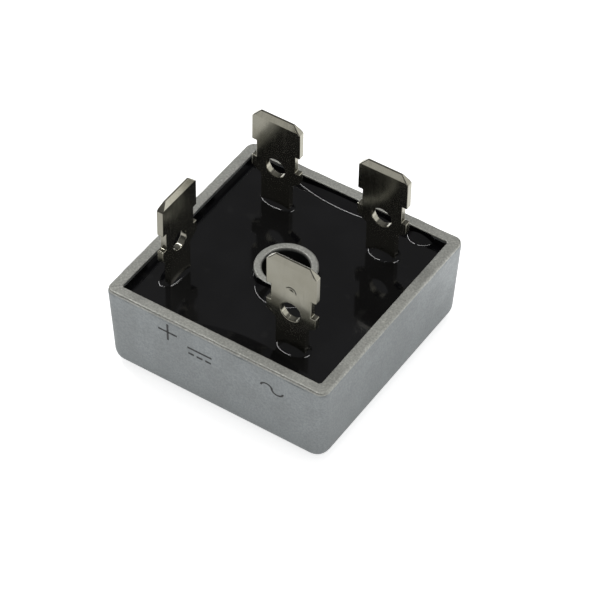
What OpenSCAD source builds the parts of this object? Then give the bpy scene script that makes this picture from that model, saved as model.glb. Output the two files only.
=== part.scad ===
// Square metal-cased bridge rectifier with four quick-connect tabs.
// A drawn aluminium cup carries a tubular screw boss. In it, four silicon dies sit between two copper
// lead frames and two copper links, and black resin fills the cup round them.
// The origin is the centre of the flat underside. +Z points up, along the tabs.
// The positive tab stands in the corner towards -X and -Y, and the negative one diagonally opposite.

/* [Case] */
// Width of the square case at its rim
case_w = 28.5; // [28:0.1:31]
// Height of the case
case_h = 11.2; // [10.6:0.1:14]
// How far each wall leans in between the rim and the underside
case_draft = 0.24; // [0.04:0.02:0.36]
// Thickness of the walls at the rim
wall_t = 1.4; // [1.1:0.1:1.8]
// Thickness of the floor
floor_t = 2; // [1.5:0.1:2.5]
// Radius of the upright outer corners at the rim
corner_r = 1.2; // [0.8:0.1:2.4]
// Radius of the upright inner corners
inner_corner_r = 0.3; // [0.2:0.1:1]
// Radius of the rounded edge round the underside
base_edge_r = 1.7; // [0.4:0.1:1.9]
// Radius of the rim's outer edge
rim_edge_r = 0.3; // [0.1:0.05:0.35]

/* [Screw boss] */
// Diameter of the screw hole
screw_hole_d = 5.4; // [5.1:0.1:5.6]
// Thickness of the boss wall
boss_wall = 0.9; // [0.6:0.1:1]
// How far the top of the boss lies below the rim
boss_drop = 0.3; // [0:0.05:0.35]
// Chamfer on the top edges of the boss
boss_chamfer = 0.12; // [0.05:0.01:0.2]

/* [Resin] */
// How far the level of the resin lies below the rim
resin_drop = 1.3; // [1.25:0.05:2]
// Radius of the hollow edge where the resin climbs the case
case_climb_r = 1.3; // [1:0.1:1.3]
// Radius of the hollow edge where the resin climbs the boss
boss_climb_r = 0.9; // [0.5:0.1:1]
// Radius of the hollow edge where the resin climbs a tab
tab_climb_r = 1.3; // [0.8:0.1:1.5]

/* [Tabs] */
// Width of a tab
tab_w = 6.2; // [6:0.1:6.4]
// Thickness of a tab
tab_t = 0.8; // [0.7:0.05:0.9]
// Height of the tips above the underside
tab_top = 22.8; // [21.5:0.1:25.4]
// Size of the cut corners at the tip
tip_chamfer = 1.1; // [0.6:0.1:1.4]
// Length of the bevel on both faces of the tip
tip_bevel = 0.8; // [0.4:0.1:1.2]
// Thickness left at the tip
tip_t = 0.4; // [0.3:0.05:0.5]
// Distance from the tip to the shoulders of the side notches
shoulder_below_tip = 4.5; // [4:0.1:5]
// Height of the side notches
notch_h = 2.35; // [2:0.05:2.8]
// Depth of each side notch
notch_depth = 0.6; // [0.3:0.05:0.9]
// Height of the straight sides of the ears below the notches
ear_h = 1.5; // [1:0.1:2]
// Height of the slope from an ear in to the leg
ear_slope_h = 0.8; // [0.3:0.1:1.2]
// Width of the leg below the ears
leg_w = 3.8; // [3:0.1:4.6]
// Distance from the tip to the centre of the wire hole
wire_hole_below_tip = 7.4; // [7.3:0.1:8]
// Diameter of the wire hole
wire_hole_d = 2.5; // [1.8:0.1:2.8]
// Distance from the tip to the detent dimple
dimple_below_tip = 4.35; // [3.8:0.05:4.6]
// Diameter of the dimple at the surface
dimple_d = 1.6; // [1:0.1:1.8]
// Depth of the dimple
dimple_depth = 0.18; // [0.1:0.02:0.24]
// Inner radius of the bend above the foot
bend_r = 0.4; // [0.2:0.1:0.6]

/* [Tab positions] */
// Distance from a side wall's inner face to the centres of the rear tabs
rear_tab_inset = 5.9; // [5.4:0.05:6]
// Distance from a side wall's inner face to the centre of the front AC tab
front_tab_inset = 6.2; // [5.4:0.05:6.3]
// Distance from the front wall's inner face to the centre of the positive tab
positive_tab_inset = 5.9; // [5.4:0.05:6]
// How far the front AC tab stands outside the middle of its link's arm
front_tab_out = 0.3; // [0:0.05:0.6]
// How far the positive tab stands outside the middle of its plate's arm
positive_tab_out = 1; // [0:0.05:1.1]

/* [Inside] */
// Thickness of the ceramic insulator
insulator_t = 0.5; // [0.3:0.05:0.8]
// Gap between the insulator and the case all round
insulator_gap = 0.3; // [0.2:0.05:0.6]
// Thickness of the copper plates and links
copper_t = 0.8; // [0.5:0.05:1]
// Radius of the corners of the copper parts
copper_corner_r = 0.5; // [0.2:0.1:1]
// Width of the arms of the two plates
plate_arm_w = 6; // [5.6:0.1:6.2]
// Gap between the plates and the case wall
plate_wall_gap = 1.25; // [1:0.05:1.5]
// Gap between the two plates
plate_gap = 0.8; // [0.6:0.05:1]
// Width of the arms of the two AC links
link_arm_w = 5.2; // [4.8:0.1:5.6]
// Side of a silicon die
die_w = 4.6; // [4:0.1:4.7]
// Thickness of a silicon die
die_t = 0.3; // [0.2:0.02:0.4]
// Distance from a die to the ends of its plate and its link
die_margin = 0.1; // [0.05:0.05:0.3]
// Distance from a tab's foot to the inner edge of its link
foot_margin = 0.2; // [0.1:0.05:0.4]
// Thickness of every solder layer
solder_t = 0.1; // [0.05:0.01:0.15]

/* [Hidden] */
$fn = 64;

// Extra length that lets one shape cut cleanly through another
cut = 1;
// Thickness left at the resin's thin upper edges
resin_toe = 0.04;
// Height of the resin's climb, as a share of its radius
climb_share = 0.92;

// The case
case_half = case_w / 2;
lean = atan(case_draft / case_h);
corner_c = case_half - corner_r;
cavity_half = case_half - wall_t;
hole_r = screw_hole_d / 2;
boss_r = hole_r + boss_wall;
boss_top = case_h - boss_drop;

// The resin
resin_z = case_h - resin_drop;
pool_c = cavity_half - resin_toe - case_climb_r;

// The stack inside, from the floor up
plate_z = floor_t + insulator_t;
plate_top = plate_z + copper_t;
die_z = plate_top + solder_t;
die_top = die_z + die_t;
link_z = die_top + solder_t;
link_top = link_z + copper_t;

// The copper parts, seen from above
plate_edge = cavity_half - plate_wall_gap;
arm_c = plate_edge - plate_arm_w / 2;
arm_end = plate_edge - plate_arm_w - plate_gap;
die_along = arm_end - die_margin - die_w / 2;
link_edge = arm_c + link_arm_w / 2;
link_end = die_along - die_w / 2 - die_margin;

// The tabs
shoulder_z = tab_top - shoulder_below_tip;
ear_z = shoulder_z - notch_h;
ear_low_z = ear_z - ear_h;
leg_z = ear_low_z - ear_slope_h;
wire_hole_z = tab_top - wire_hole_below_tip;
dimple_z = tab_top - dimple_below_tip;
dimple_ball_r = (pow(dimple_d / 2, 2) + pow(dimple_depth, 2)) / (2 * dimple_depth);
bend_outer_r = bend_r + tab_t;
foot_start = tab_t / 2 + bend_r;
foot_end = link_arm_w / 2 - foot_margin;

// Each tab: its name, the centre of its upright, its turn and the height of the copper that carries it.
// Unturned, its outer face looks towards -Y and its foot points towards +Y.
rear_x = cavity_half - rear_tab_inset;
front_x = cavity_half - front_tab_inset;
positive_y = cavity_half - positive_tab_inset;
TABS = [
    ["positive", [-arm_c - positive_tab_out, -positive_y], -90, plate_top],
    ["negative", [rear_x, arm_c], 180, plate_top],
    ["ac_1", [-rear_x, arm_c], 180, link_top],
    ["ac_2", [front_x, -arm_c - front_tab_out], 0, link_top],
];

// Each die's centre: the first and third on the positive plate, the others on the negative one
DIES = [
    [-arm_c, die_along],
    [-die_along, arm_c],
    [die_along, -arm_c],
    [arm_c, -die_along],
];
DIE_NUMBERS = [1:len(DIES)];

// Sweeps an upright profile round a rectangle. The profile is drawn outwards from x = 0, with its height
// along Y, and core_h is its height at x = 0.
module round_rectangle(half_x, half_y, core_h) {
    translate([-half_x, -half_y, 0])
        cube([2 * half_x, 2 * half_y, core_h]);
    for (turn = [0, 90, 180, 270]) {
        along = turn % 180 == 0 ? half_y : half_x;
        translate([cos(turn) * half_x, sin(turn) * half_y, 0])
            rotate([90, 0, turn])
                linear_extrude(2 * along, center = true)
                    children();
        translate([sign(cos(turn + 45)) * half_x, sign(sin(turn + 45)) * half_y, 0])
            rotate(turn)
                rotate_extrude(angle = 90)
                    children();
    }
}

// A flat rectangle between two opposite corners, with rounded corners of its own
module rounded_rect(low, high, r) {
    size = high - low;
    translate(low + [r, 0])
        square([size.x - 2 * r, size.y]);
    translate(low + [0, r])
        square([size.x, size.y - 2 * r]);
    for (x = [low.x + r, high.x - r], y = [low.y + r, high.y - r])
        translate([x, y])
            circle(r);
}

// A flat square round the origin, with rounded corners
module rounded_square(half, r)
    rounded_rect([-half, -half], [half, half], r);

// How far the leaning wall stands outside its place at the rim, at height z
function wall_lean(z) = (z - case_h) * tan(lean);

// The case's outer wall, outwards from the centre of a corner: it leans, and its rim edge is rounded
module wall_profile() {
    rim_x = corner_r + wall_lean(case_h - rim_edge_r) - rim_edge_r / cos(lean);
    polygon([
        [0, -cut],
        [corner_r + wall_lean(-cut), -cut],
        [rim_x + rim_edge_r * cos(lean), case_h - rim_edge_r * (1 + sin(lean))],
        [rim_x, case_h],
        [0, case_h],
    ]);
    intersection() {
        translate([rim_x, case_h - rim_edge_r])
            circle(rim_edge_r);
        square([corner_r, case_h]);
    }
}

// The case seen square on from one side, running past its rim: its lower edges are rounded
module side_outline() {
    base_x = case_half + wall_lean(0) - base_edge_r * (1 - sin(lean)) / cos(lean);
    tangent = [base_x + base_edge_r * cos(lean), base_edge_r * (1 - sin(lean))];
    top = [case_half + wall_lean(case_h + cut), case_h + cut];
    polygon([[-base_x, 0], [base_x, 0], tangent, top, [-top.x, top.y], [-tangent.x, tangent.y]]);
    for (x = [-base_x, base_x])
        translate([x, base_edge_r])
            circle(base_edge_r);
}

// The case before it is hollowed
module case_block()
    intersection() {
        round_rectangle(corner_c, corner_c, case_h)
            wall_profile();
        intersection_for(turn = [0, 90])
            rotate([90, 0, turn])
                linear_extrude(case_w + cut, center = true)
                    side_outline();
    }

module cavity()
    translate([0, 0, floor_t])
        linear_extrude(case_h)
            rounded_square(cavity_half, inner_corner_r);

// The outside of the screw boss, from the floor up
module boss()
    rotate_extrude()
        polygon([
            [0, floor_t],
            [boss_r, floor_t],
            [boss_r, boss_top - boss_chamfer],
            [boss_r - boss_chamfer, boss_top],
            [0, boss_top],
        ]);

module screw_hole()
    rotate_extrude()
        polygon([
            [0, -cut],
            [hole_r, -cut],
            [hole_r, boss_top - boss_chamfer],
            [hole_r + boss_chamfer, boss_top],
            [hole_r + boss_chamfer, case_h + cut],
            [0, case_h + cut],
        ]);

module case()
    color("silver")
        difference() {
            case_block();
            difference() {
                cavity();
                boss();
            }
            screw_hole();
        }

// The hollow edge of the resin where it climbs metal at x = 0, standing on the resin's level
module climb_profile(r)
    difference() {
        square([r, climb_share * r]);
        translate([r + resin_toe, r - resin_toe])
            circle(r);
    }

// The open pool above the resin, outwards from the end of its flat level
module pool_profile()
    intersection() {
        square([case_climb_r, case_h]);
        translate([0, case_climb_r]) {
            circle(case_climb_r);
            square([case_climb_r, case_h]);
        }
    }

// The resin as it would be with nothing inside it
module resin_fill()
    difference() {
        union() {
            difference() {
                translate([0, 0, floor_t])
                    linear_extrude(resin_z + climb_share * case_climb_r - floor_t)
                        rounded_square(cavity_half, inner_corner_r);
                translate([0, 0, resin_z])
                    round_rectangle(pool_c, pool_c, case_h)
                        pool_profile();
            }
            translate([0, 0, resin_z])
                rotate_extrude()
                    translate([boss_r, 0])
                        climb_profile(boss_climb_r);
            for (tab = TABS)
                translate([tab[1].x, tab[1].y, resin_z])
                    rotate(tab[2])
                        round_rectangle(leg_w / 2, tab_t / 2, climb_share * tab_climb_r)
                            climb_profile(tab_climb_r);
        }
        translate([0, 0, floor_t - cut])
            cylinder(r = boss_r, h = case_h + cut);
    }

module potting()
    color("#1c1c20")
        difference() {
            resin_fill();
            insulator_plate();
            positive_plate();
            negative_plate();
            ac_link_1();
            ac_link_2();
            for (n = DIE_NUMBERS) {
                die(n);
                die_base_solder(n);
                die_top_solder(n);
            }
            for (tab = TABS) {
                terminal(tab);
                tab_solder(tab);
            }
        }

module insulator_plate()
    color("ivory")
        translate([0, 0, floor_t])
            linear_extrude(insulator_t)
                difference() {
                    rounded_square(cavity_half - insulator_gap, inner_corner_r);
                    circle(boss_r + insulator_gap);
                }

// An L of copper in the corner towards -X and -Y, with arms of equal length
module copper_angle(z, edge, arm_w, end)
    color("#b87333")
        translate([0, 0, z])
            linear_extrude(copper_t) {
                rounded_rect([-edge, -edge], [-edge + arm_w, end], copper_corner_r);
                rounded_rect([-edge, -edge], [end, -edge + arm_w], copper_corner_r);
            }

module positive_plate()
    copper_angle(plate_z, plate_edge, plate_arm_w, arm_end);

module negative_plate()
    rotate(180)
        copper_angle(plate_z, plate_edge, plate_arm_w, arm_end);

module ac_link_1()
    rotate(-90)
        copper_angle(link_z, link_edge, link_arm_w, -link_end);

module ac_link_2()
    rotate(90)
        copper_angle(link_z, link_edge, link_arm_w, -link_end);

// A square layer of the die's width, on the centre of die n
module die_layer(n, z, thickness)
    translate([DIES[n - 1].x - die_w / 2, DIES[n - 1].y - die_w / 2, z])
        cube([die_w, die_w, thickness]);

module die(n)
    color("dimgray")
        die_layer(n, die_z, die_t);

module die_base_solder(n)
    color("lightgray")
        die_layer(n, plate_top, solder_t);

module die_top_solder(n)
    color("lightgray")
        die_layer(n, die_top, solder_t);

// The upright of a tab, seen square on
module tab_outline(low_z) {
    half = tab_w / 2;
    neck = half - notch_depth;
    side = [
        [leg_w / 2, low_z],
        [leg_w / 2, leg_z],
        [half, ear_low_z],
        [half, ear_z],
        [neck, ear_z],
        [neck, shoulder_z],
        [half, shoulder_z],
        [half, tab_top - tip_chamfer],
        [half - tip_chamfer, tab_top],
    ];
    polygon(concat(side, [for (i = [len(side) - 1:-1:0]) [-side[i].x, side[i].y]]));
}

// The upright of a tab, seen edge on: both faces are bevelled at the tip
module tab_edge(low_z)
    polygon([
        [-tab_t / 2, low_z],
        [tab_t / 2, low_z],
        [tab_t / 2, tab_top - tip_bevel],
        [tip_t / 2, tab_top],
        [-tip_t / 2, tab_top],
        [-tab_t / 2, tab_top - tip_bevel],
    ]);

// The bend and the foot of a tab, seen edge on
module foot_edge(foot_z) {
    translate([foot_start, foot_z + bend_outer_r])
        intersection() {
            difference() {
                circle(bend_outer_r);
                circle(bend_r);
            }
            translate([-bend_outer_r, -bend_outer_r])
                square(bend_outer_r);
        }
    translate([foot_start, foot_z])
        square([foot_end - foot_start, tab_t]);
}

module terminal(tab) {
    foot_z = tab[3] + solder_t;
    low_z = foot_z + bend_outer_r;
    color("#a8a296")
        translate(tab[1])
            rotate(tab[2]) {
                difference() {
                    intersection() {
                        rotate([90, 0, 0])
                            linear_extrude(2 * tab_t, center = true)
                                tab_outline(low_z);
                        rotate([90, 0, 90])
                            linear_extrude(2 * tab_w, center = true)
                                tab_edge(low_z);
                    }
                    translate([0, 0, wire_hole_z])
                        rotate([90, 0, 0])
                            cylinder(d = wire_hole_d, h = 2 * tab_t, center = true);
                    translate([0, -tab_t / 2 + dimple_depth - dimple_ball_r, dimple_z])
                        sphere(dimple_ball_r);
                }
                rotate([90, 0, 90])
                    linear_extrude(leg_w, center = true)
                        foot_edge(foot_z);
            }
}

module tab_solder(tab)
    color("lightgray")
        translate([tab[1].x, tab[1].y, tab[3]])
            rotate(tab[2])
                translate([-leg_w / 2, foot_start, 0])
                    cube([leg_w, foot_end - foot_start, solder_t]);

case();
potting();
insulator_plate();
positive_plate();
negative_plate();
ac_link_1();
ac_link_2();
for (n = DIE_NUMBERS) {
    die(n);
    die_base_solder(n);
    die_top_solder(n);
}
for (tab = TABS) {
    terminal(tab);
    tab_solder(tab);
}
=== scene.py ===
import math

import bmesh
import bpy
from mathutils import Matrix, Vector, noise


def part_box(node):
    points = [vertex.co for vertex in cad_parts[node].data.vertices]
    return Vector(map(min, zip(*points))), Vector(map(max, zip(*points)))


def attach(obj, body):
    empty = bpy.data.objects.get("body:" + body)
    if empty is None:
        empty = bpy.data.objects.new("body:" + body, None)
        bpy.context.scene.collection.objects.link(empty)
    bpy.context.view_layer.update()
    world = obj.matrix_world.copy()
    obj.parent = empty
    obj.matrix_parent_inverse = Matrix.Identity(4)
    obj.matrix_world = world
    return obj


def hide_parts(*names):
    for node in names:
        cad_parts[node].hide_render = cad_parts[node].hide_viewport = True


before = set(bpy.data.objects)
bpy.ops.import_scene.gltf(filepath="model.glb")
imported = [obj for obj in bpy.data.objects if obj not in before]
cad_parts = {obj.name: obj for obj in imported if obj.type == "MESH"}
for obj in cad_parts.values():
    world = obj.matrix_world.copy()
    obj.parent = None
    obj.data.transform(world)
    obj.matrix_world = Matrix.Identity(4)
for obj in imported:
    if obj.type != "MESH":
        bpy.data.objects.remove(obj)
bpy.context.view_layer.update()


# ---------------------------------------------------------------- sizes, in metres

MM = 0.001
SLACK = 0.001 * MM  # two measures this close are the same
MARGIN = 0.01 * MM  # limits are set this far past a surface, clear of rounding
CUT_SLACK = 0.00001 * MM  # a cut takes points this close to its plane as on it

CASE_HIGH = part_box("case")[1]
CASE_HALF = CASE_HIGH.x
CASE_H = CASE_HIGH.z
CASE_DRAFT = 0.24 * MM  # how far each wall leans in from the rim to the base
WALL_T = 1.4 * MM
FLOOR_T = 2 * MM
CORNER_R = 1 * MM  # the upright corners at the rim
BASE_EDGE_R = 1.7 * MM  # the upright corners at the base, and the base's edge
INNER_CORNER_R = 0.3 * MM
RIM_EDGE_R = 0.26 * MM
RIM_INNER_EDGE_R = 0.1 * MM
CAVITY_HALF = CASE_HALF - WALL_T
RIM_SHADE_Z = CASE_H - 0.36 * MM  # the painted shade line under the rim
RIM_SHADE_END_Z = CASE_H - 0.52 * MM  # where that line has faded out

HOLE_R = 2.7 * MM
BOSS_R = 3.6 * MM
BOSS_TOP = CASE_H - 0.3 * MM
BOSS_EDGE_R = 0.2 * MM
SHADE_Z = BOSS_TOP - 0.5 * MM  # the hole's inside is painted dark below this, as shade

RESIN_Z = CASE_H - 1.3 * MM  # the resin where it is level

TAB_W = 6.3 * MM
TAB_T = 0.8 * MM
TAB_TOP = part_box("terminal_ac_1")[1].z


# ---------------------------------------------------------------- making meshes

def close_to(a, b):
    return abs(a - b) < SLACK


def new_object(name, data):
    made = bpy.data.objects.new(name, data)
    bpy.context.scene.collection.objects.link(made)
    return made


def new_mesh(bm, name, material):
    """Turns a bmesh into a mesh with one material, and frees the bmesh."""
    mesh = bpy.data.meshes.new(name)
    bm.to_mesh(mesh)
    bm.free()
    mesh.materials.append(material)
    return mesh


def finish_piece(bm, name, material, node=None, sharp_angle=12):
    """Turns a bmesh into a smooth-shaded piece that rides on the part."""
    bmesh.ops.recalc_face_normals(bm, faces=bm.faces)
    mesh = new_mesh(bm, name, material)
    mesh.shade_smooth()
    mesh.set_sharp_from_angle(angle=math.radians(sharp_angle))
    piece = new_object(name, mesh)
    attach(piece, "root")
    if node:
        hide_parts(node)
    return piece


def flatten_normals(piece):
    """Keeps the broad faces flat beside their small rounded edges."""
    weighted = piece.modifiers.new("weighted_normals", "WEIGHTED_NORMAL")
    weighted.keep_sharp = True


def round_edges(bm, edges, radius, segments):
    bmesh.ops.bevel(
        bm, geom=edges, offset=radius, offset_type="OFFSET", segments=segments,
        profile=0.5, affect="EDGES", material=-1, clamp_overlap=True)


def box_block(bm, half, low_z, high_z):
    """A square block round the Z axis. Returns its vertices."""
    place = Matrix.Translation((0, 0, (low_z + high_z) / 2))
    size = Matrix.Diagonal((2 * half, 2 * half, high_z - low_z, 1))
    return bmesh.ops.create_cube(bm, size=1, matrix=place @ size)["verts"]


def once(items):
    """Each item once, in the order in which it comes first."""
    return list(dict.fromkeys(items))


def edges_of(verts):
    return once(edge for vert in verts for edge in vert.link_edges)


def faces_of(verts):
    return once(face for vert in verts for face in vert.link_faces)


def only(kind, items):
    """The items of one bmesh kind, such as BMVert."""
    return [item for item in items if isinstance(item, kind)]


def is_upright(edge):
    across = (edge.verts[0].co - edge.verts[1].co).xy.length
    return across < abs(edge.verts[0].co.z - edge.verts[1].co.z)


def at_height(item, z):
    """Whether all of an edge or a face lies at height z."""
    return all(close_to(vert.co.z, z) for vert in item.verts)


def open_edges_at(bm, z):
    return [edge for edge in bm.edges if edge.is_boundary and at_height(edge, z)]


def delete_level_face(bm, verts, z):
    """Takes the flat face at height z off a block."""
    faces = [face for face in faces_of(verts) if at_height(face, z)]
    bmesh.ops.delete(bm, geom=faces, context="FACES_ONLY")


def spin_profile(bm, verts, axis, middle, steps):
    """Turns a chain of vertices all the way round an axis."""
    edges = [bm.edges.new(pair) for pair in zip(verts, verts[1:])]
    bmesh.ops.spin(
        bm, geom=verts + edges, axis=axis, cent=middle, angle=2 * math.pi,
        steps=steps, use_merge=True, use_duplicate=False)


def slice_mesh(bm, point, normal, clear_outer=False):
    """Cuts the whole mesh with a plane. Returns what the cut made."""
    geometry = bm.verts[:] + bm.edges[:] + bm.faces[:]
    return bmesh.ops.bisect_plane(
        bm, geom=geometry, dist=CUT_SLACK, plane_co=point, plane_no=normal,
        clear_outer=clear_outer)["geom_cut"]


def slice_into_strips(bm, axis, reach, pitch):
    """Cuts the whole mesh with evenly spaced planes across an axis."""
    normal = Vector((0, 0, 0))
    normal[axis] = 1
    count = int(reach / pitch)
    for step in range(-count, count + 1):
        slice_mesh(bm, normal * step * pitch, normal)


# ---------------------------------------------------------------- node helpers

# The colour sockets of a Mix node
MIX_FACTOR, MIX_A, MIX_B, MIX_RESULT = 0, 6, 7, 2


class NodeMaker:
    """Short ways to place and link nodes in a tree."""

    def __init__(self, tree):
        self.tree = tree

    def node(self, kind, **settings):
        made = self.tree.nodes.new(kind)
        for key, value in settings.items():
            setattr(made, key, value)
        return made

    def link(self, source, target):
        self.tree.links.new(source, target)

    def feed(self, socket, value):
        """Links an output to a socket, or sets the socket's own value."""
        if isinstance(value, bpy.types.NodeSocket):
            self.link(value, socket)
        else:
            socket.default_value = value

    def math(self, operation, a, b):
        made = self.node("ShaderNodeMath", operation=operation)
        self.feed(made.inputs[0], a)
        self.feed(made.inputs[1], b)
        return made.outputs[0]

    def mix(self, factor, a, b):
        made = self.node("ShaderNodeMix", data_type="RGBA")
        self.feed(made.inputs[MIX_FACTOR], factor)
        self.feed(made.inputs[MIX_A], a)
        self.feed(made.inputs[MIX_B], b)
        return made.outputs[MIX_RESULT]

    def spread(self, value, low_in, high_in, low_out, high_out):
        """Maps a range of a value smoothly onto another range."""
        made = self.node("ShaderNodeMapRange", interpolation_type="SMOOTHSTEP")
        self.feed(made.inputs["Value"], value)
        made.inputs["From Min"].default_value = low_in
        made.inputs["From Max"].default_value = high_in
        made.inputs["To Min"].default_value = low_out
        made.inputs["To Max"].default_value = high_out
        return made.outputs["Result"]

    def noise(self, place, scale, detail=2.0, roughness=0.5):
        made = self.node("ShaderNodeTexNoise")
        self.feed(made.inputs["Vector"], place)
        self.feed(made.inputs["Scale"], scale)
        made.inputs["Detail"].default_value = detail
        made.inputs["Roughness"].default_value = roughness
        return made.outputs["Fac"]

    def place(self, stretch=(1, 1, 1)):
        """Object coordinates, stretched along each axis."""
        coords = self.node("ShaderNodeTexCoord")
        mapping = self.node("ShaderNodeMapping")
        mapping.inputs["Scale"].default_value = stretch
        self.link(coords.outputs["Object"], mapping.inputs["Vector"])
        return mapping.outputs["Vector"]

    def split(self, vector):
        """A vector's X, Y and Z."""
        made = self.node("ShaderNodeSeparateXYZ")
        self.link(vector, made.inputs[0])
        return made.outputs

    def attribute(self, name):
        return self.node("ShaderNodeAttribute", attribute_name=name).outputs["Fac"]

    def mirror_ray(self, path):
        """1 for what a mirror or a glass shows."""
        rays = path.outputs
        return self.math("MAXIMUM", rays["Is Glossy Ray"], rays["Is Transmission Ray"])

    def bump(self, height, strength, distance, normal=None):
        made = self.node("ShaderNodeBump")
        made.inputs["Strength"].default_value = strength
        made.inputs["Distance"].default_value = distance
        self.feed(made.inputs["Height"], height)
        if normal:
            self.link(normal, made.inputs["Normal"])
        return made.outputs["Normal"]


def rgb(red, green, blue):
    return (red, green, blue, 1)


def new_group(name, inputs, outputs):
    """A shader node group of numbers: inputs are (name, value), outputs are names."""
    tree = bpy.data.node_groups.new(name, "ShaderNodeTree")
    for label, value in inputs:
        socket = tree.interface.new_socket(label, in_out="INPUT", socket_type="NodeSocketFloat")
        socket.default_value = value
    for label in outputs:
        tree.interface.new_socket(label, in_out="OUTPUT", socket_type="NodeSocketFloat")
    make = NodeMaker(tree)
    return tree, make, make.node("NodeGroupInput").outputs, make.node("NodeGroupOutput").inputs


def grain_group():
    """Cast grain: fine pits and broad clouds, both from 0 to 1, and rare bright flecks."""
    tree, make, given, out = new_group(
        "grain", [("Fine Scale", 5000), ("Broad Scale", 400)], ["Fine", "Broad", "Flecks"])
    place = make.place()
    fine = make.noise(place, given["Fine Scale"], 3, 0.6)
    broad = make.noise(place, given["Broad Scale"], 2)
    flecks = make.noise(place, make.math("MULTIPLY", given["Fine Scale"], 0.6), 1)
    make.link(make.spread(fine, 0.3, 0.7, 0, 1), out["Fine"])
    make.link(make.spread(broad, 0.35, 0.65, 0, 1), out["Broad"])
    make.link(make.spread(flecks, 0.66, 0.76, 0, 1), out["Flecks"])
    return tree


def rub_group():
    """Thin rub marks that run upwards, and cloudy tarnish, both from 0 to 1."""
    tree, make, given, out = new_group(
        "rub_marks", [("Scale", 900), ("Cloud Scale", 250)], ["Marks", "Clouds"])
    streaks = make.noise(make.place((1, 1, 0.12)), given["Scale"], 4, 0.65)
    clouds = make.noise(make.place(), given["Cloud Scale"], 3)
    make.link(make.spread(streaks, 0.45, 0.7, 0, 1), out["Marks"])
    make.link(make.spread(clouds, 0.35, 0.65, 0, 1), out["Clouds"])
    return tree


GRAIN = grain_group()
RUB = rub_group()


def new_material(name):
    material = bpy.data.materials.new(name)
    material.use_nodes = True
    return material, NodeMaker(material.node_tree), material.node_tree.nodes["Principled BSDF"]


def place_group(make, group, **values):
    """Places a node group with its own values. Returns its outputs."""
    made = make.node("ShaderNodeGroup", node_tree=group)
    for key, value in values.items():
        made.inputs[key.replace("_", " ")].default_value = value
    return made.outputs


# ---------------------------------------------------------------- materials

def cast_aluminium():
    """Satin cast aluminium, paler and warmer on the tops of the rim and the boss, partly rubbed metal
    and partly painted highlight, with a painted shade line under the rim and painted shade inside the
    hole.
    """
    material, make, shader = new_material("cast_aluminium")
    grain = place_group(make, GRAIN, Fine_Scale=4200, Broad_Scale=330)
    rubbed_and_lit = make.attribute("rubbed_and_lit")
    body = make.mix(grain["Fine"], rgb(0.268, 0.286, 0.292), rgb(0.340, 0.363, 0.370))
    clouds = make.math("MULTIPLY", grain["Broad"], 0.25)
    clouded = make.mix(clouds, body, rgb(0.33, 0.345, 0.345))
    # The tops of the rim and the boss: rubbed metal, made paler still as a painted highlight.
    pale_top_colour = make.mix(grain["Fine"], rgb(0.335, 0.338, 0.312), rgb(0.500, 0.502, 0.464))
    patchy = make.spread(grain["Broad"], 0, 1, 0.25, 0.85)
    # A patchy dark line painted under the rim as shade.
    painted_rim_shade = make.math("MULTIPLY", make.attribute("rim_shade_line"), patchy)
    lined = make.mix(painted_rim_shade, make.mix(rubbed_and_lit, clouded, pale_top_colour), rgb(0.12, 0.12, 0.105))
    flecks = make.math("MULTIPLY", grain["Flecks"], make.math("MULTIPLY", rubbed_and_lit, 0.45))
    flecked = make.mix(flecks, lined, rgb(0.72, 0.71, 0.66))
    # Painted shade inside the hole, below SHADE_Z.
    shaded = make.mix(make.attribute("painted_hole_shade"), flecked, rgb(0.018, 0.019, 0.016))
    make.link(shaded, shader.inputs["Base Color"])
    make.link(make.spread(grain["Broad"], 0, 1, 0.46, 0.56), shader.inputs["Roughness"])
    shader.inputs["Metallic"].default_value = 0.7
    pits = make.bump(grain["Fine"], 0.2, 0.02 * MM)
    make.link(make.bump(grain["Broad"], 0.08, 0.08 * MM, pits), shader.inputs["Normal"])
    return material


def black_resin():
    """Glossy black epoxy with a few dust specks."""
    material, make, shader = new_material("black_resin")
    grain = place_group(make, GRAIN, Fine_Scale=900, Broad_Scale=160)
    body = make.mix(grain["Broad"], rgb(0.0024, 0.0024, 0.003), rgb(0.0046, 0.0046, 0.0054))
    dust = make.math("MULTIPLY", grain["Flecks"], 0.25)
    make.link(make.mix(dust, body, rgb(0.02, 0.02, 0.019)), shader.inputs["Base Color"])
    make.link(make.spread(grain["Broad"], 0, 1, 0.07, 0.11), shader.inputs["Roughness"])
    make.link(make.bump(grain["Broad"], 0.06, 0.1 * MM), shader.inputs["Normal"])
    return material


def nickel_plate():
    """Bright warm nickel with clouds and fine rub marks."""
    material, make, shader = new_material("nickel_plate")
    rub = place_group(make, RUB, Scale=1500, Cloud_Scale=280)
    grain = place_group(make, GRAIN, Fine_Scale=3500, Broad_Scale=700)
    body = make.mix(rub["Clouds"], rgb(0.295, 0.284, 0.232), rgb(0.330, 0.320, 0.268))
    marks = make.math("MULTIPLY", rub["Marks"], 0.2)
    make.link(make.mix(marks, body, rgb(0.26, 0.248, 0.20)), shader.inputs["Base Color"])
    make.link(make.spread(rub["Marks"], 0, 1, 0.15, 0.2), shader.inputs["Roughness"])
    shader.inputs["Metallic"].default_value = 0.96
    relief = make.bump(rub["Marks"], 0.02, 0.02 * MM)
    make.link(make.bump(grain["Broad"], 0.04, 0.03 * MM, relief), shader.inputs["Normal"])
    return material


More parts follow.
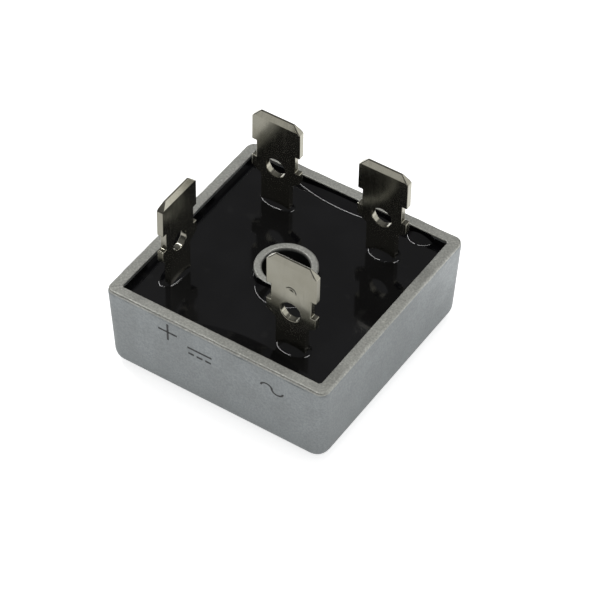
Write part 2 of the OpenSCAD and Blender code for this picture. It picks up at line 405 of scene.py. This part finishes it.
def plain_finish(name, dark, pale, roughness, metallic, scale):
    """A sealed inner metal, silicon or ceramic: a grained surface between two colours."""
    material, make, shader = new_material(name)
    grain = place_group(make, GRAIN, Fine_Scale=scale * 8, Broad_Scale=scale)
    half_fine = make.math("MULTIPLY", grain["Fine"], 0.5)
    half_broad = make.math("MULTIPLY", grain["Broad"], 0.5)
    mottle = make.math("ADD", half_fine, half_broad)
    make.link(make.mix(mottle, dark, pale), shader.inputs["Base Color"])
    dulled = make.spread(grain["Broad"], 0, 1, roughness, roughness + 0.12)
    make.link(dulled, shader.inputs["Roughness"])
    shader.inputs["Metallic"].default_value = metallic
    make.link(make.bump(grain["Fine"], 0.2, 0.02 * MM), shader.inputs["Normal"])
    return material


def marking_ink():
    """Dark stamped ink that is thin in places."""
    material, make, shader = new_material("marking_ink")
    grain = place_group(make, GRAIN, Fine_Scale=4200, Broad_Scale=900)
    ink = make.mix(grain["Fine"], rgb(0.018, 0.018, 0.019), rgb(0.045, 0.046, 0.047))
    make.link(ink, shader.inputs["Base Color"])
    make.link(make.spread(grain["Broad"], 0, 1, 0.5, 0.65), shader.inputs["Roughness"])
    return material


FLOOR_SEEN_GLOW = 0.66
FLOOR_BOUNCED_GLOW = 0.22
REAR_GLOW_RISE = (12 * MM, 26 * MM)  # where on Y the floor brightens, as mirrors see it
REAR_GLOW = (0.28, 0.95)  # its brightness before and behind that


def studio_floor():
    """A pale floor that stays white around the part and still takes its shadow."""
    material, make, shader = new_material("studio_floor")
    cloud = make.noise(make.place(), 3.0, 2)
    paint = make.mix(cloud, rgb(0.86, 0.86, 0.86), rgb(0.89, 0.89, 0.89))
    make.link(paint, shader.inputs["Base Color"])
    shader.inputs["Roughness"].default_value = 0.9
    shader.inputs["Specular IOR Level"].default_value = 0
    rear_glow = make.spread(make.split(make.place())["Y"], *REAR_GLOW_RISE, *REAR_GLOW)
    path = make.node("ShaderNodeLightPath")
    seen = make.math("MULTIPLY", path.outputs["Is Camera Ray"], FLOOR_SEEN_GLOW)
    bounced = make.math("MULTIPLY", path.outputs["Is Diffuse Ray"], FLOOR_BOUNCED_GLOW)
    mirrored = make.math("MULTIPLY", make.mirror_ray(path), rear_glow)
    glow = make.math("ADD", make.math("ADD", seen, bounced), mirrored)
    white = make.node("ShaderNodeEmission")
    make.link(glow, white.inputs["Strength"])
    both = make.node("ShaderNodeAddShader")
    make.link(shader.outputs[0], both.inputs[0])
    make.link(white.outputs[0], both.inputs[1])
    make.link(both.outputs[0], material.node_tree.nodes["Material Output"].inputs["Surface"])
    return material


# ---------------------------------------------------------------- the case

STRIP_PITCH = 0.4 * MM  # the walls are cut this finely, so that the rim can be uneven
WORN_BAND = 0.4 * MM  # how far down from the rim it is uneven
WORN_IN = 0.11 * MM  # how far the rim's outer edge is worn in, at most
WORN_DOWN = 0.05 * MM  # how far its top is worn down, at most
LONG_WAVE = 2.6 * MM
SHORT_WAVE = 0.9 * MM
LONG_WAVE_PLANE = 0.7  # each wave has a plane of the noise of its own
SHORT_WAVE_PLANE = 3.1


def rim_wear(x, y):
    """An uneven share from 0 to 1 that changes along the rim."""
    slow = noise.noise(Vector((x, y, LONG_WAVE_PLANE)) / LONG_WAVE)
    quick = noise.noise(Vector((x, y, SHORT_WAVE_PLANE)) / SHORT_WAVE)
    return min(max(0.5 + 0.55 * slow + 0.3 * quick, 0), 1)


def open_block(bm, half, low_z, high_z, rounded, radius, draft=0):
    """A square block with some of its edges rounded, and no top or bottom face."""
    others = set(bm.verts)
    verts = box_block(bm, half, low_z, high_z)
    lower = [v for v in verts if close_to(v.co.z, low_z)]
    shrink = 1 - draft / half
    bmesh.ops.scale(bm, vec=(shrink, shrink, 1), verts=lower)
    round_edges(bm, [edge for edge in edges_of(verts) if rounded(edge)], radius, segments=8)
    verts = [v for v in bm.verts if v not in others]
    delete_level_face(bm, verts, low_z)
    delete_level_face(bm, verts, high_z)
    return verts


def tighten_rim_corners(bm, verts):
    """Gives the upright corners their smaller radius at the rim."""
    share = CORNER_R / BASE_EDGE_R
    for side_x in (-1, 1):
        for side_y in (-1, 1):
            corner = Vector((side_x * CASE_HALF, side_y * CASE_HALF, 0))
            near = [v for v in verts
                    if close_to(v.co.z, CASE_H) and (v.co.xy - corner.xy).length < 1.1 * BASE_EDGE_R]
            bmesh.ops.scale(bm, vec=(share, share, 1), space=Matrix.Translation(-corner), verts=near)


def build_walls(bm):
    """The outer and inner walls, open at the rim, the base and the floor."""
    outer = open_block(
        bm, CASE_HALF, 0, CASE_H,
        lambda edge: is_upright(edge) or at_height(edge, 0), BASE_EDGE_R, CASE_DRAFT)
    tighten_rim_corners(bm, outer)
    inner = open_block(bm, CAVITY_HALF, FLOOR_T, CASE_H, is_upright, INNER_CORNER_R)
    bmesh.ops.reverse_faces(bm, faces=faces_of(inner))
    for axis in (0, 1):
        slice_into_strips(bm, axis, CAVITY_HALF - INNER_CORNER_R, STRIP_PITCH)
    # Cuts for the painted shade line under the rim.
    for z in (RIM_SHADE_Z, RIM_SHADE_END_Z):
        slice_mesh(bm, (0, 0, z), (0, 0, 1))


def nearer_outside(edge):
    """Whether an edge of the rim lies nearer the outside of the wall than the cavity."""
    middle = (edge.verts[0].co + edge.verts[1].co) / 2
    return max(abs(middle.x), abs(middle.y)) > CAVITY_HALF + WALL_T / 2


def close_rim(bm):
    """Joins the two walls with the rim and rounds its edges."""
    rim = bmesh.ops.bridge_loops(bm, edges=open_edges_at(bm, CASE_H))["faces"]
    rim_edges = once(edge for face in rim for edge in face.edges)
    wall_edges = [e for e in rim_edges if any(f not in rim for f in e.link_faces)]
    outer_edges = [e for e in wall_edges if nearer_outside(e)]
    inner_edges = [e for e in wall_edges if not nearer_outside(e)]
    round_edges(bm, outer_edges, RIM_EDGE_R, segments=3)
    round_edges(bm, [e for e in inner_edges if e.is_valid], RIM_INNER_EDGE_R, segments=2)


def build_boss(bm):
    """The boss and the hole right through it, joined to the floor and the base."""
    # The ring at SHADE_Z bounds the hole's painted shade.
    profile = [
        (BOSS_R, FLOOR_T), (BOSS_R, BOSS_TOP), (HOLE_R, BOSS_TOP), (HOLE_R, SHADE_Z), (HOLE_R, 0)]
    verts = [bm.verts.new((r, 0, z)) for r, z in profile]
    spin_profile(bm, verts, axis=(0, 0, 1), middle=(0, 0, 0), steps=96)
    lip = [e for e in bm.edges
           if at_height(e, BOSS_TOP) and close_to(e.verts[0].co.xy.length, e.verts[1].co.xy.length)]
    round_edges(bm, lip, BOSS_EDGE_R, segments=3)
    for z in (FLOOR_T, 0):
        bmesh.ops.triangle_fill(bm, edges=open_edges_at(bm, z), use_beauty=True)


def wear_rim(bm):
    """Makes the rim's top and its outer edge slightly uneven."""
    for vert in bm.verts:
        reach = max(abs(vert.co.x), abs(vert.co.y))
        if reach > CAVITY_HALF - MARGIN and vert.co.z > CASE_H - WORN_BAND:
            wear = rim_wear(vert.co.x, vert.co.y)
            if reach > CASE_HALF - WALL_T / 2:
                outwards = Vector((vert.co.x, vert.co.y, 0)).normalized()
                vert.co -= outwards * (WORN_IN * wear)
            vert.co.z -= WORN_DOWN * wear


def mark_finish(bm):
    """Stores where the metal's top is rubbed and painted lighter as a highlight, where the hole's
    inside is painted dark as shade and where the rim's painted shade line runs.
    """
    rubbed_and_lit = bm.verts.layers.float.new("rubbed_and_lit")
    painted_hole_shade = bm.verts.layers.float.new("painted_hole_shade")
    rim_shade_line = bm.verts.layers.float.new("rim_shade_line")
    for vert in bm.verts:
        distance = vert.co.xy.length
        on_boss = distance < BOSS_R + MARGIN and vert.co.z > BOSS_TOP - 1.5 * BOSS_EDGE_R
        on_rim = vert.co.z > RIM_SHADE_Z + MARGIN
        in_hole = distance < HOLE_R + MARGIN and vert.co.z < SHADE_Z + MARGIN
        vert[rubbed_and_lit] = float(on_boss or on_rim)
        vert[painted_hole_shade] = float(in_hole)
        vert[rim_shade_line] = float(close_to(vert.co.z, RIM_SHADE_Z))


def make_case(material):
    bm = bmesh.new()
    build_walls(bm)
    close_rim(bm)
    build_boss(bm)
    wear_rim(bm)
    mark_finish(bm)
    flatten_normals(finish_piece(bm, "case_shell", material, node="case"))


# ---------------------------------------------------------------- the resin

# Each tab's collar of resin is an oval, in mm: its middle from the leg's middle, then its half sizes.
COLLARS = {
    "ac_1": ((0.2, 0.0), (2.25, 1.0)),
    "negative": ((0.35, 0.0), (2.05, 1.45)),
    "ac_2": ((0.3, 0.0), (2.1, 1.4)),
    "positive": ((-0.4, 0.0), (1.2, 2.6)),
}
COLLAR_LIMIT = 5 * MM  # a collar adds nothing further than this from its middle
FOOT_SLOPE = 0.5
FOOT_EDGE = 0.07 * MM  # how softly a foot starts
FOOT_FAR = 30  # this many times that far from its edge, a foot is straight or level

# The other feet bow out from a wall or the boss: furthest reach, then the middle and half length.
FRONT_BOW = (2.4 * MM, 3.5 * MM, 9.5 * MM)
FRONT_SHARE = 0.5  # the front wall's foot is this much gentler
REAR_LONG_BOW = (1.31 * MM, -0.3 * MM, 7.5 * MM)
REAR_SHORT_BOW = (1.35 * MM, 9.3 * MM, 1.75 * MM)
BOSS_BOW = (1.94 * MM, -53, 70)  # its middle and half length are degrees round the boss
NO_REACH = -1 * MM  # a foot that starts this far inside its wall leaves the resin level

WALL_CLIMB = 0.95 * MM  # how far the resin's outer edge climbs the walls
BOSS_CLIMB = 0.75 * MM  # how far its inner edge climbs the boss
RIM_GAP = 0.1 * MM  # the resin stays this far below the rim
RIPPLE = 0.012 * MM
RIPPLE_LENGTH = 5 * MM

RESIN_SPOKES = 640
RESIN_RINGS = 148
RESIN_SINK = 0.01 * MM  # how far the resin reaches into the metal


def leg_middle(tab):
    """The middle of a tab's upright on plan."""
    low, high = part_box("terminal_" + tab)
    if tab == "positive":
        return Vector((low.x + TAB_T / 2, (low.y + high.y) / 2))
    face = low.y + TAB_T / 2 if tab == "ac_2" else high.y - TAB_T / 2
    return Vector(((low.x + high.x) / 2, face))


def foot_rise(outside):
    """A shallow foot of steady slope: level outside its edge, rising inside it."""
    share = -outside / FOOT_EDGE
    if share > FOOT_FAR:
        return FOOT_SLOPE * -outside
    return FOOT_SLOPE * FOOT_EDGE * math.log1p(math.exp(max(share, -FOOT_FAR)))


def collar_rise(offset, sizes):
    """The foot round a tab's leg, shaped by its oval."""
    u, v = offset.x / sizes[0], offset.y / sizes[1]
    ring = math.hypot(u, v)
    steepness = math.hypot(u / sizes[0], v / sizes[1]) / max(ring, 0.2)
    return foot_rise((ring - 1) / max(steepness, 1 / max(sizes)))


def bow_reach(offset, reach, half_length):
    """How far out a bowed foot starts, at an offset along it from its middle."""
    return max(reach * (1 - (offset / half_length) ** 2), NO_REACH)


def front_reach(x):
    reach, middle, half_length = FRONT_BOW
    return bow_reach(x - middle, reach, half_length)


def rear_reach(x):
    """The rear wall has a long bow and, in the right corner, a short one."""
    return max(bow_reach(x - middle, reach, half_length)
               for reach, middle, half_length in (REAR_LONG_BOW, REAR_SHORT_BOW))


def boss_reach(x, y):
    """The boss's foot is widest towards the nearest tab and gone on the far side."""
    reach, middle, half_length = BOSS_BOW
    turn = abs(math.degrees(math.atan2(y, x)) - middle)
    return bow_reach(min(turn, 360 - turn), reach, half_length)


def resin_height(x, y, legs):
    """The height of the resin's surface at a place on plan."""
    from_boss = math.hypot(x, y) - BOSS_R
    rise = foot_rise(from_boss - boss_reach(x, y)) + foot_rise(CAVITY_HALF - y - rear_reach(x))
    rise += FRONT_SHARE * foot_rise(CAVITY_HALF + y - front_reach(x))
    if max(abs(x), abs(y)) > CAVITY_HALF:
        rise += WALL_CLIMB
    if from_boss < 0:
        rise += BOSS_CLIMB
    for middle, (shift, sizes) in legs:
        offset = Vector((x, y)) - middle - Vector(shift) * MM
        if offset.length < COLLAR_LIMIT:
            rise += collar_rise(offset, Vector(sizes) * MM)
    ripple = RIPPLE * noise.noise(Vector((x, y, 0)) / RIPPLE_LENGTH)
    return RESIN_Z + min(rise, CASE_H - RESIN_Z - RIM_GAP) + ripple


def to_wall(co, half, radius):
    """Moves a point straight outwards from the Z axis, on to a rounded square."""
    direction = co.xy.normalized()
    core = half - radius
    distance = half / max(abs(direction.x), abs(direction.y))
    if min(abs(direction.x), abs(direction.y)) * distance > core:
        corner = Vector((math.copysign(core, direction.x), math.copysign(core, direction.y)))
        along = corner.dot(direction)
        distance = along + math.sqrt(max(radius ** 2 - (corner.length_squared - along ** 2), 0))
    return direction * distance


def make_potting(material):
    legs = [(leg_middle(tab), collar) for tab, collar in COLLARS.items()]
    bm = bmesh.new()
    ring = bmesh.ops.create_circle(
        bm, cap_ends=False, radius=BOSS_R - RESIN_SINK, segments=RESIN_SPOKES)["verts"]
    grown = bmesh.ops.extrude_edge_only(bm, edges=edges_of(ring))["geom"]
    outer = set(only(bmesh.types.BMVert, grown))
    for vert in outer:
        vert.co.xy = to_wall(vert.co, CAVITY_HALF + RESIN_SINK, INNER_CORNER_R)
    spokes = [e for e in bm.edges if (e.verts[0] in outer) != (e.verts[1] in outer)]
    bmesh.ops.subdivide_edges(bm, edges=spokes, cuts=RESIN_RINGS, use_grid_fill=True)
    for vert in bm.verts:
        vert.co.z = resin_height(vert.co.x, vert.co.y, legs)
    rims = [edge for edge in bm.edges if edge.is_boundary]
    grown = bmesh.ops.extrude_edge_only(bm, edges=rims)["geom"]
    for vert in only(bmesh.types.BMVert, grown):
        vert.co.z = FLOOR_T
    bmesh.ops.bridge_loops(bm, edges=open_edges_at(bm, FLOOR_T))
    finish_piece(bm, "potting_fill", material, node="potting", sharp_angle=50)


# ---------------------------------------------------------------- the tabs

SHOULDER_Z = TAB_TOP - 4.5 * MM  # the neck starts below the shoulders
EAR_Z = SHOULDER_Z - 2.35 * MM  # and ends at the two ears
EAR_LOW_Z = EAR_Z - 1.5 * MM
LEG_Z = EAR_LOW_Z - 0.8 * MM
LEG_W = 3.8 * MM
NECK_HALF = TAB_W / 2 - 0.6 * MM
TIP_CHAMFER = 1 * MM
TIP_BEVEL = 0.8 * MM
TIP_T = 0.18 * MM
WIRE_HOLE_Z = TAB_TOP - 7.4 * MM
WIRE_HOLE_R = 1.25 * MM
DIMPLE_Z = TAB_TOP - 4.35 * MM
DIMPLE_R = 0.7 * MM
DIMPLE_DEPTH = 0.05 * MM
DIMPLE_POWER = 6  # how steeply the dimple's edge drops before its flat bottom
DIMPLE_RINGS = 8
DIMPLE_STEPS = 32
PIT_R = 0.3 * MM
PIT_DEPTH = 0.06 * MM
EDGE_R = 0.09 * MM
SHARP_FROM = math.radians(40)  # edges that turn by more than this are rounded
BEND_R = 0.4 * MM
BEND_STEPS = 8
FOOT_LENGTH = 1.6 * MM
SOLDER_T = 0.1 * MM


def circle_loop(bm, radius, z, segments):
    """An open circle in the XZ plane. Returns its edges."""
    place = Matrix.Translation((0, 0, z)) @ Matrix.Rotation(math.pi / 2, 4, "X")
    return edges_of(bmesh.ops.create_circle(
        bm, cap_ends=False, radius=radius, segments=segments, matrix=place)["verts"])


def blade_outline(bm, low_z):
    """The upright's outline in the XZ plane. Returns its edges."""
    half = TAB_W / 2
    side = [
        (LEG_W / 2, low_z), (LEG_W / 2, LEG_Z), (half, EAR_LOW_Z), (half, EAR_Z),
        (NECK_HALF, EAR_Z), (NECK_HALF, SHOULDER_Z), (half, SHOULDER_Z),
        (half, TAB_TOP - TIP_CHAMFER), (half - TIP_CHAMFER, TAB_TOP),
    ]
    points = side + [(-x, z) for x, z in reversed(side)]
    verts = [bm.verts.new((x, 0, z)) for x, z in points]
    return [bm.edges.new(pair) for pair in zip(verts, verts[1:] + verts[:1])]


def cut_tip_bevel(bm, side):
    """Planes one face of the tip down to its bevel. side is -1 or 1 along Y."""
    normal = Vector((0, side * TIP_BEVEL, (TAB_T - TIP_T) / 2)).normalized()
    corner = Vector((0, side * TAB_T / 2, TAB_TOP - TIP_BEVEL))
    cut = slice_mesh(bm, corner, normal, clear_outer=True)
    bmesh.ops.contextual_create(bm, geom=only(bmesh.types.BMEdge, cut))


def press_dimple(bm):
    """Replaces the disc on the outer face with a shallow bowl that has a small pit in its middle."""
    middle = Vector((0, -TAB_T / 2, DIMPLE_Z))
    disc = [f for f in bm.faces
            if len(f.verts) == DIMPLE_STEPS and (f.calc_center_median() - middle).length < MARGIN]
    bmesh.ops.delete(bm, geom=disc, context="FACES_ONLY")
    verts = []
    for n in range(DIMPLE_RINGS + 1):
        share = 1 - n / DIMPLE_RINGS
        radius = DIMPLE_R * share
        depth = DIMPLE_DEPTH * (1 - share ** DIMPLE_POWER) + PIT_DEPTH * max(1 - radius / PIT_R, 0)
        verts.append(bm.verts.new(middle + Vector((radius, depth, 0))))
    spin_profile(bm, verts, axis=(0, 1, 0), middle=middle, steps=DIMPLE_STEPS)
    bmesh.ops.remove_doubles(bm, verts=bm.verts, dist=0.002 * MM)


def bend_foot(bm, low_z):
    """Runs the upright's lower end round a bend towards +Y and out into a flat foot."""
    end = [f for f in bm.faces if f.normal.z < -0.9 and at_height(f, low_z)]
    step_turn = Matrix.Rotation(math.pi / 2 / BEND_STEPS, 3, "X")
    for _ in range(BEND_STEPS):
        grown = bmesh.ops.extrude_face_region(bm, geom=end)["geom"]
        old, end = end, only(bmesh.types.BMFace, grown)
        bmesh.ops.rotate(
            bm, cent=(0, TAB_T / 2 + BEND_R, low_z), matrix=step_turn,
            verts=only(bmesh.types.BMVert, grown))
        bmesh.ops.delete(bm, geom=old, context="FACES_ONLY")
    grown = bmesh.ops.extrude_face_region(bm, geom=end)["geom"]
    bmesh.ops.translate(bm, vec=(0, FOOT_LENGTH, 0), verts=only(bmesh.types.BMVert, grown))
    bmesh.ops.delete(bm, geom=end, context="FACES_ONLY")


def make_tab(tab, turn, copper_top, material):
    """A stamped tab: its upright is built square on to Y, then bent out, turned and put in place."""
    low_z = copper_top + SOLDER_T + BEND_R + TAB_T
    bm = bmesh.new()
    loops = blade_outline(bm, low_z) + circle_loop(bm, WIRE_HOLE_R, WIRE_HOLE_Z, 64)
    dimple = circle_loop(bm, DIMPLE_R, DIMPLE_Z, DIMPLE_STEPS)
    bmesh.ops.triangle_fill(bm, edges=loops + dimple, use_beauty=True)
    bmesh.ops.contextual_create(bm, geom=dimple)
    bmesh.ops.recalc_face_normals(bm, faces=bm.faces)
    back = bmesh.ops.extrude_face_region(bm, geom=bm.faces[:])["geom"]
    bmesh.ops.translate(bm, vec=(0, TAB_T, 0), verts=only(bmesh.types.BMVert, back))
    bmesh.ops.translate(bm, vec=(0, -TAB_T / 2, 0), verts=bm.verts)
    bmesh.ops.recalc_face_normals(bm, faces=bm.faces)
    for side in (-1, 1):
        cut_tip_bevel(bm, side)
    bmesh.ops.recalc_face_normals(bm, faces=bm.faces)
    press_dimple(bm)
    bend_foot(bm, low_z)
    bmesh.ops.recalc_face_normals(bm, faces=bm.faces)
    sharp = [e for e in bm.edges if len(e.link_faces) == 2 and e.calc_face_angle() > SHARP_FROM]
    round_edges(bm, sharp, EDGE_R, segments=3)

    middle = leg_middle(tab)
    place = Matrix.Translation((middle.x, middle.y, 0)) @ Matrix.Rotation(math.radians(turn), 4, "Z")
    bmesh.ops.transform(bm, matrix=place, verts=bm.verts)
    finish_piece(bm, tab + "_tab", material, node="terminal_" + tab)


# ---------------------------------------------------------------- the marks

INK_T = 0.02 * MM
STROKE_W = 0.26 * MM
STROKE_OVERRUN = 0.6 * STROKE_W  # how much longer a stroke is than the line between its ends
ARC_STEPS = 14
PLUS_ARM = 1.15 * MM
LINE_HALF = 1.5 * MM
LINE_GAP = 0.42 * MM
DASH_HALF = 0.3 * MM
DASH_PITCH = 1.1 * MM
WAVE_R = 0.7 * MM
WAVE_START = 180  # degrees
WAVE_FLATTEN = 0.75


def wall_matrix(x, z):
    """Moves a mark, drawn in X and Z round its centre, on to the front wall, with the wall's lean."""
    lean = math.atan(CASE_DRAFT / CASE_H)
    y = -(CASE_HALF - (CASE_H - z) * math.tan(lean))
    return Matrix.Translation((x, y, z)) @ Matrix.Rotation(lean, 4, "X")


def stroke(bm, start, end):
    """A straight stroke of ink between two points (x, z)."""
    start, end = Vector(start), Vector(end)
    along = end - start
    middle = (start + end) / 2
    turn = Matrix.Rotation(-math.atan2(along.y, along.x), 4, "Y")
    size = Matrix.Diagonal((along.length + STROKE_OVERRUN, INK_T, STROKE_W, 1))
    place = Matrix.Translation((middle.x, 0, middle.y))
    bmesh.ops.create_cube(bm, size=1, matrix=place @ turn @ size)


def half_wave(bm, middle_x, last):
    """A flattened half circle of ink round (middle_x, 0), from its left end to last, in degrees."""
    others = set(bm.verts)
    place = Matrix.Rotation(math.radians(-WAVE_START), 4, "Y") @ Matrix.Translation((WAVE_R, 0, 0))
    block = bmesh.ops.create_grid(
        bm, x_segments=1, y_segments=1, size=0.5,
        matrix=place @ Matrix.Diagonal((STROKE_W, INK_T, 1, 1)))["verts"]
    bmesh.ops.spin(
        bm, geom=block + edges_of(block) + faces_of(block), axis=(0, -1, 0), cent=(0, 0, 0),
        angle=math.radians(last - WAVE_START), steps=ARC_STEPS, use_merge=False, use_duplicate=False)
    made = [v for v in bm.verts if v not in others]
    bmesh.ops.scale(bm, vec=(1, 1, WAVE_FLATTEN), verts=made)
    bmesh.ops.translate(bm, vec=(middle_x, 0, 0), verts=made)


def plus_sign(bm):
    stroke(bm, (-PLUS_ARM, 0), (PLUS_ARM, 0))
    stroke(bm, (0, -PLUS_ARM), (0, PLUS_ARM))


def direct_current_sign(bm):
    """A line over three dashes."""
    stroke(bm, (-LINE_HALF, LINE_GAP), (LINE_HALF, LINE_GAP))
    for middle in (-DASH_PITCH, 0, DASH_PITCH):
        stroke(bm, (middle - DASH_HALF, -LINE_GAP), (middle + DASH_HALF, -LINE_GAP))


def alternating_current_sign(bm):
    """A single wave."""
    half_wave(bm, -WAVE_R, 0)
    half_wave(bm, WAVE_R, 360)


def make_mark(name, draw, x, z, material):
    """One ink mark on the front wall, with its middle at (x, z)."""
    bm = bmesh.new()
    draw(bm)
    bmesh.ops.transform(bm, matrix=wall_matrix(x, z), verts=bm.verts)
    finish_piece(bm, name, material)


# ---------------------------------------------------------------- the studio

CAMERA_AZIMUTH, CAMERA_ELEVATION, CAMERA_ROLL = 32.532, 45.830, 1.187  # degrees
CAMERA_DISTANCE = 342.175 * MM
CAMERA_TARGET = Vector((1.903, -0.052, 7.248)) * MM
CAMERA_LENS = 186.718
CAMERA_SENSOR = 36

FLOOR_R = 4

# Two thin lamps, whose mirror images draw the bright lines on the feet of the resin
LAMP_DISTANCE = 0.6
LAMP_W = 0.024

ROOM_LIGHT = 0.5  # how brightly the room lights the part
ROOM_RISE = (0.3, 0.7)  # how steeply upwards the room brightens, as mirrors see it
ROOM_MIRRORED = (0.07, 0.2)  # its brightness below and above that
WINDOW_DIRECTION = Vector((0.78, 0.52, 0.34)).normalized()
WINDOW_EDGE = (0.86, 0.97)  # cosines of the angles over which the window fades in
WINDOW_LIGHT = 1.1


def make_camera():
    data = bpy.data.cameras.new("camera")
    data.sensor_width = CAMERA_SENSOR
    data.lens = CAMERA_LENS
    data.clip_start = 0.01
    camera = new_object("camera", data)
    turn = (Matrix.Rotation(math.radians(CAMERA_AZIMUTH), 4, "Z")
            @ Matrix.Rotation(math.radians(90 - CAMERA_ELEVATION), 4, "X"))
    back = turn @ Vector((0, 0, CAMERA_DISTANCE))
    roll = Matrix.Rotation(math.radians(CAMERA_ROLL), 4, "Z")
    camera.matrix_world = Matrix.Translation(CAMERA_TARGET + back) @ turn @ roll
    bpy.context.scene.camera = camera


def make_floor():
    bm = bmesh.new()
    bmesh.ops.create_circle(bm, cap_ends=True, radius=FLOOR_R, segments=64)
    new_object("floor", new_mesh(bm, "floor", studio_floor()))


def make_lamp(name, direction, length, radiance, along):
    """A strip lamp that faces the part. along is the direction of its length."""
    data = bpy.data.lights.new(name, "AREA")
    data.shape = "RECTANGLE"
    data.size = length
    data.size_y = LAMP_W
    data.energy = math.pi * length * LAMP_W * radiance
    lamp = new_object(name, data)
    out = Vector(direction).normalized()
    up = out.cross(Vector(along).normalized()).normalized()
    place = Matrix((up.cross(out), up, out)).transposed().to_4x4()
    lamp.matrix_world = Matrix.Translation(out * LAMP_DISTANCE + Vector((0, 0, CASE_H))) @ place


def make_world():
    """A room that lights evenly: white to the eye, and dim with one window in mirrors."""
    world = bpy.data.worlds.new("studio")
    bpy.context.scene.world = world
    world.use_nodes = True
    make = NodeMaker(world.node_tree)
    background = world.node_tree.nodes["Background"]
    path = make.node("ShaderNodeLightPath")
    direction = make.node("ShaderNodeTexCoord").outputs["Generated"]
    nearness = make.node("ShaderNodeVectorMath", operation="DOT_PRODUCT")
    make.link(direction, nearness.inputs[0])
    nearness.inputs[1].default_value = WINDOW_DIRECTION
    room = make.spread(make.split(direction)["Z"], *ROOM_RISE, *ROOM_MIRRORED)
    window = make.spread(nearness.outputs["Value"], *WINDOW_EDGE, 0, WINDOW_LIGHT)
    difference = make.math("SUBTRACT", make.math("ADD", room, window), ROOM_LIGHT)
    mirrored = make.math("MULTIPLY", make.mirror_ray(path), difference)
    lit = make.math("ADD", mirrored, ROOM_LIGHT)
    make.link(make.math("MAXIMUM", lit, path.outputs["Is Camera Ray"]), background.inputs["Strength"])
    background.inputs["Color"].default_value = rgb(1, 1, 1)


# ---------------------------------------------------------------- putting it together

bpy.context.scene.view_settings.view_transform = "Standard"

make_camera()
make_floor()
make_world()
make_lamp("left_strip", (-0.572, 0.153, 0.806), 0.48, 24, (0.659, -0.499, 0.563))
make_lamp("right_strip", (0.001, 0.301, 0.954), 0.34, 20, (0.519, 0.815, -0.258))

ALUMINIUM = cast_aluminium()
RESIN = black_resin()
NICKEL = nickel_plate()
COPPER = plain_finish("copper", rgb(0.52, 0.23, 0.12), rgb(0.72, 0.36, 0.22), 0.3, 1, 500)
SOLDER = plain_finish("solder", rgb(0.32, 0.32, 0.33), rgb(0.50, 0.50, 0.51), 0.35, 1, 900)
SILICON = plain_finish("silicon", rgb(0.05, 0.055, 0.065), rgb(0.09, 0.095, 0.11), 0.2, 0.6, 300)
CERAMIC = plain_finish("ceramic", rgb(0.62, 0.61, 0.57), rgb(0.74, 0.73, 0.70), 0.5, 0, 600)
INK = marking_ink()

make_case(ALUMINIUM)
make_potting(RESIN)

PLATE_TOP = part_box("positive_plate")[1].z
LINK_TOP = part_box("ac_link_1")[1].z
make_tab("positive", -90, PLATE_TOP, NICKEL)
make_tab("negative", 180, PLATE_TOP, NICKEL)
make_tab("ac_1", 180, LINK_TOP, NICKEL)
make_tab("ac_2", 0, LINK_TOP, NICKEL)

make_mark("plus_mark", plus_sign, -5.9 * MM, 9.2 * MM, INK)
make_mark("direct_current_mark", direct_current_sign, -1.75 * MM, 7.95 * MM, INK)
make_mark("alternating_current_mark", alternating_current_sign, 7.6 * MM, 8.3 * MM, INK)

# A node takes the finish of the first word that its name holds.
FINISHES = {
    "solder": SOLDER, "insulator": CERAMIC, "die": SILICON, "plate": COPPER, "link": COPPER,
    "terminal": NICKEL, "case": ALUMINIUM, "potting": RESIN,
}
for node_name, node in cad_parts.items():
    node.data.materials.clear()
    node.data.materials.append(next(FINISHES[word] for word in FINISHES if word in node_name))
